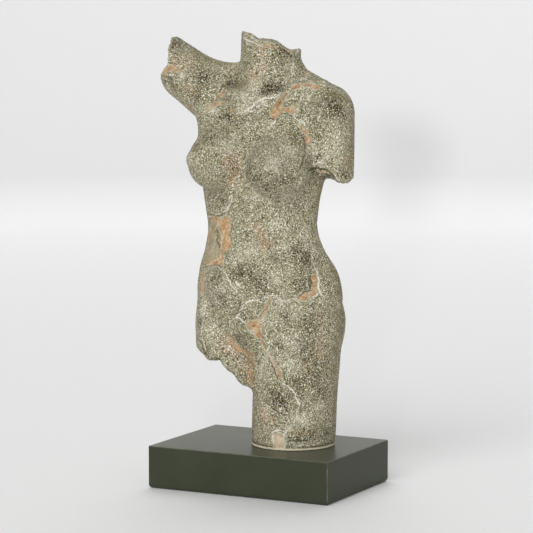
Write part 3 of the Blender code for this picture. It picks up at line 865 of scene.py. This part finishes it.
# %% Move the points
moving = {"Geometry": given["Geometry"], "Offset": add(tree, ARROWS, PLUS, {0: carve, 1: chips})}
moved = add(tree, "GeometryNodeSetPosition", {}, moving)
for name, value in (("flake", flake), ("worn", worn)):
    kept = {"Geometry": moved, "Name": name, "Value": value}
    moved = add(tree, "GeometryNodeStoreNamedAttribute", {"domain": "POINT"}, kept)
moved = add(tree, "GeometryNodeRealizeInstances", {}, {"Geometry": moved})
finish = {"Geometry": moved, "Material": given["Stone"]}
moved = add(tree, "GeometryNodeSetMaterial", {}, finish)
add(tree, "NodeGroupOutput", {}, {"Geometry": moved})
print("the weathering tree has", len(tree.nodes), "nodes")

# %% [markdown]
# ## The stone's finish
#
# The real finish is stone powder in resin with paint worked into it: an olive-grey body, dark umber
# washed into every pit, and dry-brushed lime on every grain that stands up. The eye gets a sandy,
# high-contrast speckle over soft clouds of rusty, pale and dark stone, and a plain olive coat where
# the brush didn't reach. Some of the dark clouds and of the plain coat are painted shade, under the
# breasts, in hollows and down the figure's left side, and a pale cloud under the left breast is a
# painted highlight. It is matt: stone powder scatters light, so it is rough and hardly specular.

# %% Start the cast stone
stone = bpy.data.materials.new("weathered cast stone")
stone.use_nodes = True
tree = stone.node_tree
shader = tree.nodes["Principled BSDF"]
place = add(tree, "ShaderNodeTexCoord").outputs["Object"]
known = {
    name: add(tree, "ShaderNodeAttribute", {"attribute_name": name}).outputs["Fac"]
    for name in (
        "flake", "worn", "seam_mm", "bare_and_side_shade", "rust_wash", "umber_wash_and_shade", "lime_wash_and_highlight", "broken",
        "hollow", "lime_mm", "fold_and_shade_mm", "above_mm",
    )
}
print("nodes so far:", len(tree.nodes))

# %% Its grain
# The real powder is finer than a pixel, which spans 1.2 mm here, so each grain is drawn about
# 1.3 mm wide, as coarse as it needs to be to show
grain = add(tree, NOISE, {}, {
    "Vector": place, "Scale": 1 / (1.35 * MM), "Detail": 1.0, "Roughness": 0.6, "Distortion": 0.6,
})
specks = add(tree, NOISE, {}, {
    "Vector": place, "Scale": 1 / (1.2 * MM), "Detail": 1.0, "Distortion": 0.6,
})
worms = add(tree, NOISE, {}, {
    "Vector": place, "Scale": 1 / (2.3 * MM), "Detail": 1.0, "Distortion": 1.3,
})
mottle = add(tree, NOISE, {}, {
    "Vector": place, "Scale": 1 / (9.0 * MM), "Detail": 3.0, "Roughness": 0.65,
})
flake = known["flake"]
worn = known["worn"]
# How much of the grain shows: less where the coat is bare or worn smooth, and in the painted shade of
# the figure's left side
smear = add(tree, MATH, PLUS, {
    0: known["seam_mm"],
    1: add(tree, MATH, TIMES, {0: add(tree, MATH, MINUS, {0: mottle, 1: 0.5}), 1: 6.0}),
})
smear = add(tree, RANGE, SMOOTH, {"Value": smear, "From Min": 2.4, "From Max": -1.6})
plain = add(tree, MATH, LARGER, {
    0: add(tree, MATH, TIMES, {0: known["bare_and_side_shade"], 1: 0.5}),
    1: add(tree, MATH, TIMES, {0: worn, 1: 0.6}),
})
coarse = add(tree, MATH, MINUS, {
    0: 1.0,
    1: add(tree, MATH, LARGER, {0: plain, 1: add(tree, MATH, TIMES, {0: smear, 1: 0.6})}),
})
print("nodes so far:", len(tree.nodes))

# %% Its clouds
# The body wavers between two olive greys, in clouds as wide as the dab of a sponge, about 34 mm
colour = add(tree, MIX, COLOURS, {
    0: add(tree, RANGE, SMOOTH, {
        "Value": add(tree, NOISE, {}, {
            "Vector": place, "Scale": 1 / (34.0 * MM), "Detail": 3.0, "Roughness": 0.6,
        }),
        "From Min": 0.38, "From Max": 0.62,
    }),
    6: linear("#837a4e"), 7: linear("#8f865f"),
})
# Ochre shows through in mottles 9 mm wide
colour = add(tree, MIX, COLOURS, {
    0: add(tree, RANGE, SMOOTH, {"Value": mottle, "From Min": 0.5, "From Max": 0.68, "To Max": 0.5}),
    6: colour, 7: linear("#9b8762"),
})
# A rusty wash where it was seen, and faint stray blots of it 15 mm wide all over
patchy = add(tree, RANGE, SMOOTH, {
    "Value": add(tree, NOISE, {}, {
        "Vector": place, "Scale": 1 / (6.0 * MM), "Detail": 4.0, "Roughness": 0.7,
    }),
    "From Min": 0.36, "From Max": 0.58,
})
rust = add(tree, MATH, TIMES, {0: add(tree, MATH, TIMES, {0: known["rust_wash"], 1: patchy}), 1: 1.3})
rust = add(tree, MATH, PLUS, {
    0: rust,
    1: add(tree, RANGE, SMOOTH, {
        "Value": add(tree, NOISE, {}, {
            "Vector": place, "Scale": 1 / (15.0 * MM), "Detail": 3.0, "Roughness": 0.7,
        }),
        "From Min": 0.56, "From Max": 0.72, "To Max": 0.5,
    }),
})
colour = add(tree, MIX, COLOURS, {
    0: add(tree, MATH, SMALLER, {
        0: add(tree, MATH, TIMES, {
            0: rust,
            1: add(tree, RANGE, SMOOTH, {"Value": mottle, "From Min": 0.22, "From Max": 0.48}),
        }),
        1: 1.0,
    }),
    6: colour, 7: linear("#b08b60"),
})
print("nodes so far:", len(tree.nodes))

# %% Its washes of umber and lime and its plain coat, partly painted shade and highlight
# Umber and painted shade where they were seen, with stray umber blots 12 mm wide
blots = add(tree, RANGE, SMOOTH, {
    "Value": add(tree, NOISE, {}, {
        "Vector": place, "Scale": 1 / (8.0 * MM), "Detail": 4.0, "Roughness": 0.7,
    }),
    "From Min": 0.32, "From Max": 0.58, "To Max": 0.5,
})
umber_and_shade = add(tree, MATH, TIMES, {0: known["umber_wash_and_shade"], 1: blots})
umber_and_shade = add(tree, MATH, PLUS, {
    0: umber_and_shade,
    1: add(tree, RANGE, SMOOTH, {
        "Value": add(tree, NOISE, {}, {
            "Vector": place, "Scale": 1 / (12.0 * MM), "Detail": 4.0, "Roughness": 0.7,
        }),
        "From Min": 0.56, "From Max": 0.7, "To Max": 0.35,
    }),
})
colour = add(tree, MIX, COLOURS, {0: umber_and_shade, 6: colour, 7: linear("#5a563a")})
# Lime drags over the rest as a haze, broken every 4 mm by the lumps of the cast. Under the left breast
# the same haze is a painted highlight
haze_and_highlight = add(tree, MATH, TIMES, {0: known["lime_wash_and_highlight"], 1: 0.45})
haze_and_highlight = add(tree, MATH, PLUS, {
    0: haze_and_highlight,
    1: add(tree, RANGE, SMOOTH, {
        "Value": add(tree, NOISE, {}, {
            "Vector": place, "Scale": 1 / (10.0 * MM), "Detail": 4.0, "Roughness": 0.7,
        }),
        "From Min": 0.56, "From Max": 0.7, "To Max": 0.35,
    }),
})
colour = add(tree, MIX, COLOURS, {
    0: add(tree, MATH, TIMES, {
        0: haze_and_highlight,
        1: add(tree, RANGE, SMOOTH, {
            "Value": add(tree, NOISE, {}, {"Vector": place, "Scale": 1 / (4.0 * MM), "Detail": 3.0}),
            "From Min": 0.3, "From Max": 0.6,
        }),
    }),
    6: colour, 7: linear("#b6b39c"),
})
# The plain coat where the brush never came, which down the figure's left side is also painted shade
colour = add(tree, MIX, COLOURS, {
    0: add(tree, MATH, TIMES, {0: known["bare_and_side_shade"], 1: 0.8}),
    6: colour, 7: linear("#786e46"),
})
print("nodes so far:", len(tree.nodes))

# %% Worn patches, smears and broken faces
# A worn patch is rubbed down to a paler, dustier coat with some rust in it
rubbed = add(tree, MIX, COLOURS, {
    0: add(tree, RANGE, SMOOTH, {"Value": mottle, "From Min": 0.36, "From Max": 0.6}),
    6: linear("#8f8768"), 7: linear("#b9a888"),
})
rubbed = add(tree, MIX, COLOURS, {
    0: add(tree, RANGE, SMOOTH, {
        "Value": add(tree, NOISE, {}, {
            "Vector": place, "Scale": 1 / (5.0 * MM), "Detail": 4.0, "Roughness": 0.7,
        }),
        "From Min": 0.5, "From Max": 0.66, "To Max": 0.8,
    }),
    6: rubbed, 7: linear("#c19468"),
})
colour = add(tree, MIX, COLOURS, {0: add(tree, MATH, TIMES, {0: worn, 1: 0.85}), 6: colour, 7: rubbed})
colour = add(tree, MIX, COLOURS, {
    0: add(tree, MATH, TIMES, {0: smear, 1: 0.85}),
    6: colour, 7: linear("#bc946a"),
})
# A broken face shows the dark, uneven inside of the cast
core = add(tree, MIX, COLOURS, {
    0: add(tree, RANGE, SMOOTH, {
        "Value": add(tree, NOISE, {}, {"Vector": place, "Scale": 1 / (5.0 * MM), "Detail": 3.0}),
        "From Min": 0.4, "From Max": 0.6,
    }),
    6: linear("#4e4529"), 7: linear("#9a7b50"),
})
colour = add(tree, MIX, COLOURS, {
    0: add(tree, MATH, TIMES, {0: known["broken"], 1: 0.75}),
    6: colour, 7: core,
})
print("nodes so far:", len(tree.nodes))

# %% Paint in the pits and on the ridges
# Umber in the pits, then lime on the ridges between them
favour = add(tree, MATH, TIMES, {0: add(tree, MATH, MINUS, {0: haze_and_highlight, 1: umber_and_shade}), 1: 0.065})
pits = add(tree, RANGE, SMOOTH, {
    "Value": add(tree, MATH, PLUS, {0: grain, 1: favour}),
    "From Min": 0.48, "From Max": 0.44,
})
colour = add(tree, MIX, COLOURS, {
    0: add(tree, MATH, TIMES, {0: pits, 1: coarse}),
    6: colour, 7: linear("#1b1709"),
})
ridge = add(tree, MATH, UNSIGNED, {0: add(tree, MATH, MINUS, {0: worms, 1: 0.5})})
threads = add(tree, RANGE, SMOOTH, {
    "Value": add(tree, MATH, MINUS, {0: ridge, 1: favour}),
    "From Min": 0.05, "From Max": 0.015,
})
colour = add(tree, MIX, COLOURS, {
    0: add(tree, MATH, TIMES, {0: threads, 1: add(tree, MATH, TIMES, {0: coarse, 1: 0.65})}),
    6: colour, 7: linear("#d4d0b2"),
})
glints = add(tree, RANGE, SMOOTH, {
    "Value": add(tree, MATH, PLUS, {0: specks, 1: favour}),
    "From Min": 0.575, "From Max": 0.61,
})
colour = add(tree, MIX, COLOURS, {
    0: add(tree, MATH, TIMES, {0: glints, 1: coarse}),
    6: colour, 7: linear("#f7f4e2"),
})
# Darker in the hollows of the carved skin and paler on its ridges
hollow = known["hollow"]
colour = add(tree, MIX, COLOURS, {
    0: add(tree, RANGE, SMOOTH, {"Value": hollow, "From Min": 0.15, "From Max": 1.0, "To Max": 0.65}),
    6: colour, 7: linear("#38341f"),
})
colour = add(tree, MIX, COLOURS, {
    0: add(tree, RANGE, SMOOTH, {"Value": hollow, "From Min": -0.2, "From Max": -1.0, "To Max": 0.4}),
    6: colour, 7: linear("#d2ceb8"),
})
print("nodes so far:", len(tree.nodes))

# %% The under-body in the lost flakes
# The under-body is a warm resin, dusty in patches, with a pale edge where the flake let go
bare_resin = add(tree, MIX, COLOURS, {
    0: add(tree, RANGE, SMOOTH, {
        "Value": add(tree, NOISE, {}, {"Vector": place, "Scale": 1 / (6.0 * MM), "Detail": 3.0}),
        "From Min": 0.4, "From Max": 0.65,
    }),
    6: linear("#b9936a"), 7: linear("#d6ba94"),
})
bare_resin = add(tree, MIX, COLOURS, {
    0: add(tree, RANGE, SMOOTH, {
        "Value": add(tree, NOISE, {}, {"Vector": place, "Scale": 1 / (2.4 * MM), "Detail": 2.0}),
        "From Min": 0.5, "From Max": 0.68, "To Max": 0.7,
    }),
    6: bare_resin, 7: linear("#e6d8bf"),
})
bare_resin = add(tree, MIX, COLOURS, {
    0: add(tree, RANGE, SMOOTH, {
        "Value": add(tree, NOISE, {}, {
            "Vector": place, "Scale": 1 / (7.0 * MM), "Detail": 4.0, "Roughness": 0.7,
        }),
        "From Min": 0.5, "From Max": 0.66, "To Max": 0.7,
    }),
    6: bare_resin, 7: linear("#b8794a"),
})
bare_resin = add(tree, MIX, COLOURS, {
    0: add(tree, RANGE, SMOOTH, {"Value": grain, "From Min": 0.47, "From Max": 0.38, "To Max": 0.5}),
    6: bare_resin, 7: linear("#6f5a36"),
})
bare_resin = add(tree, MIX, COLOURS, {
    0: add(tree, MATH, TIMES, {0: known["lime_wash_and_highlight"], 1: 0.7}),
    6: bare_resin, 7: linear("#f0e0c8"),
})
colour = add(tree, MIX, COLOURS, {
    0: add(tree, RANGE, SMOOTH, {"Value": flake, "From Min": 0.35, "From Max": 0.7, "To Max": 0.92}),
    6: colour, 7: bare_resin,
})
edge = add(tree, MATH, TIMES, {
    0: add(tree, RANGE, SMOOTH, {"Value": flake, "From Min": 0.06, "From Max": 0.3, "To Max": 0.7}),
    1: add(tree, RANGE, SMOOTH, {"Value": flake, "From Min": 0.7, "From Max": 0.4}),
})
edge = add(tree, MATH, TIMES, {
    0: edge,
    1: add(tree, RANGE, SMOOTH, {"Value": mottle, "From Min": 0.42, "From Max": 0.58}),
})
colour = add(tree, MIX, COLOURS, {0: edge, 6: colour, 7: linear("#d9d1b6")})
print("nodes so far:", len(tree.nodes))

# %% Lime lines, painted shade in the folds, and the foot
# Lime breaks off in places, so grain eats into its lines
eaten = add(tree, MATH, PLUS, {
    0: known["lime_mm"],
    1: add(tree, MATH, TIMES, {
        0: add(tree, MATH, MINUS, {
            0: add(tree, NOISE, {}, {
                "Vector": place, "Scale": 1 / (2.6 * MM), "Detail": 3.0, "Roughness": 0.7,
            }),
            1: 0.5,
        }),
        1: 2.4,
    }),
})
colour = add(tree, MIX, COLOURS, {
    0: add(tree, RANGE, SMOOTH, {"Value": eaten, "From Min": 0.08, "From Max": -0.3, "To Max": 0.92}),
    6: colour, 7: linear("#ece9da"),
})
# Painted shade darkens the folds and the undercut edges of flakes, its edge broken by the grain
crease = add(tree, MATH, PLUS, {
    0: known["fold_and_shade_mm"],
    1: add(tree, MATH, TIMES, {0: add(tree, MATH, MINUS, {0: grain, 1: 0.5}), 1: 2.0}),
})
colour = add(tree, MIX, COLOURS, {
    0: add(tree, RANGE, SMOOTH, {"Value": crease, "From Min": 0.7, "From Max": -0.5, "To Max": 0.6}),
    6: colour, 7: linear("#453d26"),
})
# The foot stands on a thin lip of bare cast
lip = add(tree, MATH, PLUS, {
    0: known["above_mm"],
    1: add(tree, MATH, TIMES, {0: add(tree, MATH, PLUS, {0: mottle, 1: grain}), 1: 1.4}),
})
colour = add(tree, MIX, COLOURS, {
    0: add(tree, RANGE, SMOOTH, {"Value": lip, "From Min": 4.8, "From Max": 3.6, "To Max": 0.9}),
    6: colour, 7: linear("#e2d8bd"),
})
print("nodes so far:", len(tree.nodes))

# %% Join the colour and a fine relief to the shader
tree.links.new(colour.outputs[2], shader.inputs["Base Color"])
shader.inputs["Roughness"].default_value = 0.9
shader.inputs["Specular IOR Level"].default_value = 0.25
relief = add(tree, MATH, MINUS, {
    0: add(tree, MATH, TIMES, {0: grain, 1: 1.3}),
    1: add(tree, MATH, TIMES, {0: ridge, 1: 1.6}),
})
bump = {"Strength": 1.0, "Distance": 0.8 * MM, "Height": add(tree, MATH, TIMES, {0: relief, 1: coarse})}
tree.links.new(add(tree, "ShaderNodeBump", {}, bump).outputs[0], shader.inputs["Normal"])
print(stone.name, "has", len(tree.nodes), "nodes")

# %% [markdown]
# ## Weather the skin and thin it
#
# The tree runs once and its result becomes a plain mesh. The colour darkens where the surface dips and
# pales where it stands up, so each point is compared with a smoothed copy of itself. Half a million
# triangles are more than the piece may have, so flat stretches are thinned, and the cracks keep theirs.

# %% Carve and measure the hollows
# A dip this deep below the smoothed copy counts as a full hollow
FULL_HOLLOW = 0.25 * MM
SMOOTHING_ROUNDS = 12
weathering = skin.modifiers.new("Weathering", "NODES")
weathering.node_group = weather
for item in weather.interface.items_tree:
    if item.in_out == "INPUT" and item.name == "Stone":
        weathering[item.identifier] = stone
carved = plain_mesh(skin, "carved")
skin.modifiers.clear()
skin.data = carved
carved_points = points_of(carved)
smoothing = skin.modifiers.new("Smoothing", "SMOOTH")
smoothing.iterations = SMOOTHING_ROUNDS
smooth_points = points_of(plain_mesh(skin, "smooth"))
skin.modifiers.clear()
hollow = ((smooth_points - carved_points) * normals_of(carved)).sum(1) / FULL_HOLLOW
store(carved, "hollow", hollow)
print("hollow from", np.round(np.percentile(hollow, [1, 50, 99]), 2))

# %% Thin the skin and set it in place
MOST_TRIANGLES = 190_000
thinning = skin.modifiers.new("Thinning", "DECIMATE")
thinning.ratio = MOST_TRIANGLES / (2 * len(carved.polygons))
finished = plain_mesh(skin, "torso")
bpy.data.objects.remove(skin)
finished.materials.clear()
finished.materials.append(stone)
finished.shade_smooth()
torso = bpy.data.objects.new("torso_cast", finished)
bpy.context.scene.collection.objects.link(torso)
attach(torso, "root")
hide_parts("torso")
print("the torso has", len(finished.polygons), "faces")

# %% [markdown]
# ## The plinth
#
# The plinth is a block of painted wood: a black-green satin lacquer, sprayed and rubbed down. Its
# shape in the imported form is already right, with eased edges, so it keeps that mesh and gets its
# finish here. Lacquer over filled wood has a faint orange peel. Its edges are painted pale in places,
# partly rubbed by handling and partly a painted highlight. Dust and a painted sheen lie on the top in
# soft clouds, which makes it look far lighter than the sides.


# %% Mix the lacquer
def lacquer():
    paint = bpy.data.materials.new("satin black-green lacquer")
    paint.use_nodes = True
    tree = paint.node_tree
    shader = tree.nodes["Principled BSDF"]
    place = add(tree, "ShaderNodeTexCoord").outputs["Object"]
    # The clouds of the coat are as wide as a hand's rub, about 45 mm
    clouds = add(tree, NOISE, {}, {"Vector": place, "Scale": 1 / (45.0 * MM), "Detail": 4.0})
    colour = add(tree, MIX, COLOURS, {0: clouds, 6: linear("#363a2d"), 7: linear("#424637")})
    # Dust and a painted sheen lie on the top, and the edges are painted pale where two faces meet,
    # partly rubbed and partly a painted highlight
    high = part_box("plinth")[1]
    parts = add(tree, "ShaderNodeSeparateXYZ", {}, {0: place}).outputs
    far_x, far_y = (add(tree, MATH, UNSIGNED, {0: parts[axis]}) for axis in "XY")
    # The pale rub and painted highlight fade in between 1.1 and 0.4 mm from an edge
    reached = zip((far_x, far_y, parts["Z"]), high)
    near = [
        add(tree, RANGE, {}, {"Value": far, "From Min": most - 1.1 * MM, "From Max": most - 0.4 * MM})
        for far, most in reached
    ]
    dust_and_sheen = add(tree, MATH, TIMES, {
        0: near[2],
        1: add(tree, RANGE, {}, {
            "Value": clouds, "From Min": 0.35, "From Max": 0.65, "To Min": 0.4, "To Max": 0.7,
        }),
    })
    colour = add(tree, MIX, COLOURS, {0: dust_and_sheen, 6: colour, 7: linear("#666857")})
    upright = add(tree, MATH, TIMES, {0: near[0], 1: near[1]})
    rim = add(tree, MATH, TIMES, {0: add(tree, MATH, LARGER, {0: near[0], 1: near[1]}), 1: near[2]})
    rubbed = add(tree, MATH, LARGER, {0: upright, 1: add(tree, MATH, TIMES, {0: rim, 1: 0.6})})
    rubbed = add(tree, MATH, TIMES, {
        0: rubbed,
        1: add(tree, RANGE, {}, {
            "Value": add(tree, NOISE, {}, {"Vector": place, "Scale": 1 / (9.0 * MM), "Detail": 4.0}),
            "From Min": 0.4, "From Max": 0.6, "To Min": 0.25, "To Max": 0.9,
        }),
    })
    # Pale edges: partly rubbed lacquer, partly a painted highlight
    colour = add(tree, MIX, COLOURS, {0: rubbed, 6: colour, 7: linear("#7e8070")})
    tree.links.new(colour.outputs[2], shader.inputs["Base Color"])
    tree.links.new(
        add(tree, RANGE, {}, {
            "Value": clouds, "From Min": 0.3, "From Max": 0.7, "To Min": 0.29, "To Max": 0.36,
        }).outputs[0],
        shader.inputs["Roughness"],
    )
    shader.inputs["Specular IOR Level"].default_value = 0.12
    bump = {
        "Strength": 0.12, "Distance": 0.1 * MM,
        "Height": add(tree, NOISE, {}, {"Vector": place, "Scale": 1 / (1.8 * MM), "Detail": 2.0}),
    }
    tree.links.new(add(tree, "ShaderNodeBump", {}, bump).outputs[0], shader.inputs["Normal"])
    return paint


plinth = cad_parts["plinth"]
plinth.data.materials.clear()
plinth.data.materials.append(lacquer())
print("the plinth keeps its packed mesh")

# %% [markdown]
# ## The room
#
# A photographer stands such a piece in a white studio whose floor runs up into the walls in one curve,
# so that no line shows behind it. This one is round, so the piece can be looked at from any side. Its
# lamps hang far off, so they light the whole room alike. Two of them are large and cast soft shadows.
# The third is small and low beside the camera, and casts the faint shadow on the wall behind.

# %% Build the studio
STUDIO_RADIUS = 4.6
STUDIO_CURVE = 1.3
STUDIO_HEIGHT = 2.2
STUDIO_SIDES = 96
CURVE_STEPS = 14
PAINT_FADE = 0.1
paper = bpy.data.materials.new("matt white wall paint")
paper.use_nodes = True
coat = paper.node_tree.nodes["Principled BSDF"]
coat.inputs["Roughness"].default_value = 0.95
coat.inputs["Specular IOR Level"].default_value = 0.1
# The floor gets the whiter paint, since the low lamp reaches it less, and it fades into the wall's
place = add(paper.node_tree, "ShaderNodeTexCoord").outputs["Object"]
height = add(paper.node_tree, "ShaderNodeSeparateXYZ", {}, {0: place}).outputs["Z"]
rise = {"Value": height, "From Min": 0.0, "From Max": PAINT_FADE}
share = add(paper.node_tree, RANGE, {}, rise)
tones = {0: share, 6: linear("#fcfcfc"), 7: linear("#e6e6e6")}
tone = add(paper.node_tree, MIX, COLOURS, tones).outputs[2]
paper.node_tree.links.new(tone, coat.inputs["Base Color"])


def turned(name, profile):
    """A surface of revolution about the upright axis, from points of its reach and height."""
    bm = bmesh.new()
    rim = [bm.verts.new((reach, 0.0, height)) for reach, height in profile]
    for low, high in zip(rim, rim[1:]):
        bm.edges.new((low, high))
    circle = {"axis": (0, 0, 1), "cent": (0, 0, 0), "angle": 2 * pi, "steps": STUDIO_SIDES}
    bmesh.ops.spin(bm, geom=bm.verts[:] + bm.edges[:], **circle)
    bmesh.ops.remove_doubles(bm, verts=bm.verts, dist=0.1 * MM)
    mesh = bpy.data.meshes.new(name)
    bm.to_mesh(mesh)
    bm.free()
    mesh.shade_smooth()
    mesh.materials.append(paper)
    made = bpy.data.objects.new(name, mesh)
    bpy.context.scene.collection.objects.link(made)
    return made


turned("studio floor", [(0.0, 0.0), (STUDIO_RADIUS - STUDIO_CURVE, 0.0)])
curve = [pi / 2 * i / CURVE_STEPS for i in range(CURVE_STEPS + 1)]
curve = [(STUDIO_RADIUS + STUDIO_CURVE * (sin(t) - 1), STUDIO_CURVE * (1 - cos(t))) for t in curve]
wall = turned("studio wall", [*curve, (STUDIO_RADIUS, STUDIO_HEIGHT)])
# The lamps are outside the room, so its wall lets their light in
wall.visible_shadow = False
print("the studio is", 2 * STUDIO_RADIUS, "m across")


# %% Hang the lamps
def far_lamp(name, azimuth, elevation, spread, strength):
    """A lamp so far off that it lights all alike. Its light comes from a disc some degrees wide."""
    lamp = bpy.data.lights.new(name, "SUN")
    lamp.angle = radians(spread)
    lamp.energy = strength
    made = bpy.data.objects.new(name, lamp)
    azimuth, elevation = radians(azimuth), radians(elevation)
    towards = Vector((sin(azimuth) * cos(elevation), -cos(azimuth) * cos(elevation), sin(elevation)))
    made.rotation_euler = towards.to_track_quat("Z", "Y").to_euler()
    bpy.context.scene.collection.objects.link(made)


# Angles are the figure's own, and the camera stands at 27 degrees
far_lamp("front", 4.0, 38.0, 40.0, 1.27)
far_lamp("low key", 21.5, 4.0, 1.8, 0.8)
far_lamp("behind", 205.0, 55.0, 50.0, 0.95)
ROOM_GLOW = 0.21
room = bpy.data.worlds.new("white room")
room.use_nodes = True
room.node_tree.nodes["Background"].inputs["Color"].default_value = (1.0, 1.0, 1.0, 1.0)
room.node_tree.nodes["Background"].inputs["Strength"].default_value = ROOM_GLOW
bpy.context.scene.world = room
bpy.context.scene.view_settings.view_transform = "Standard"
print("lamps:", [lamp.name for lamp in bpy.data.lights])
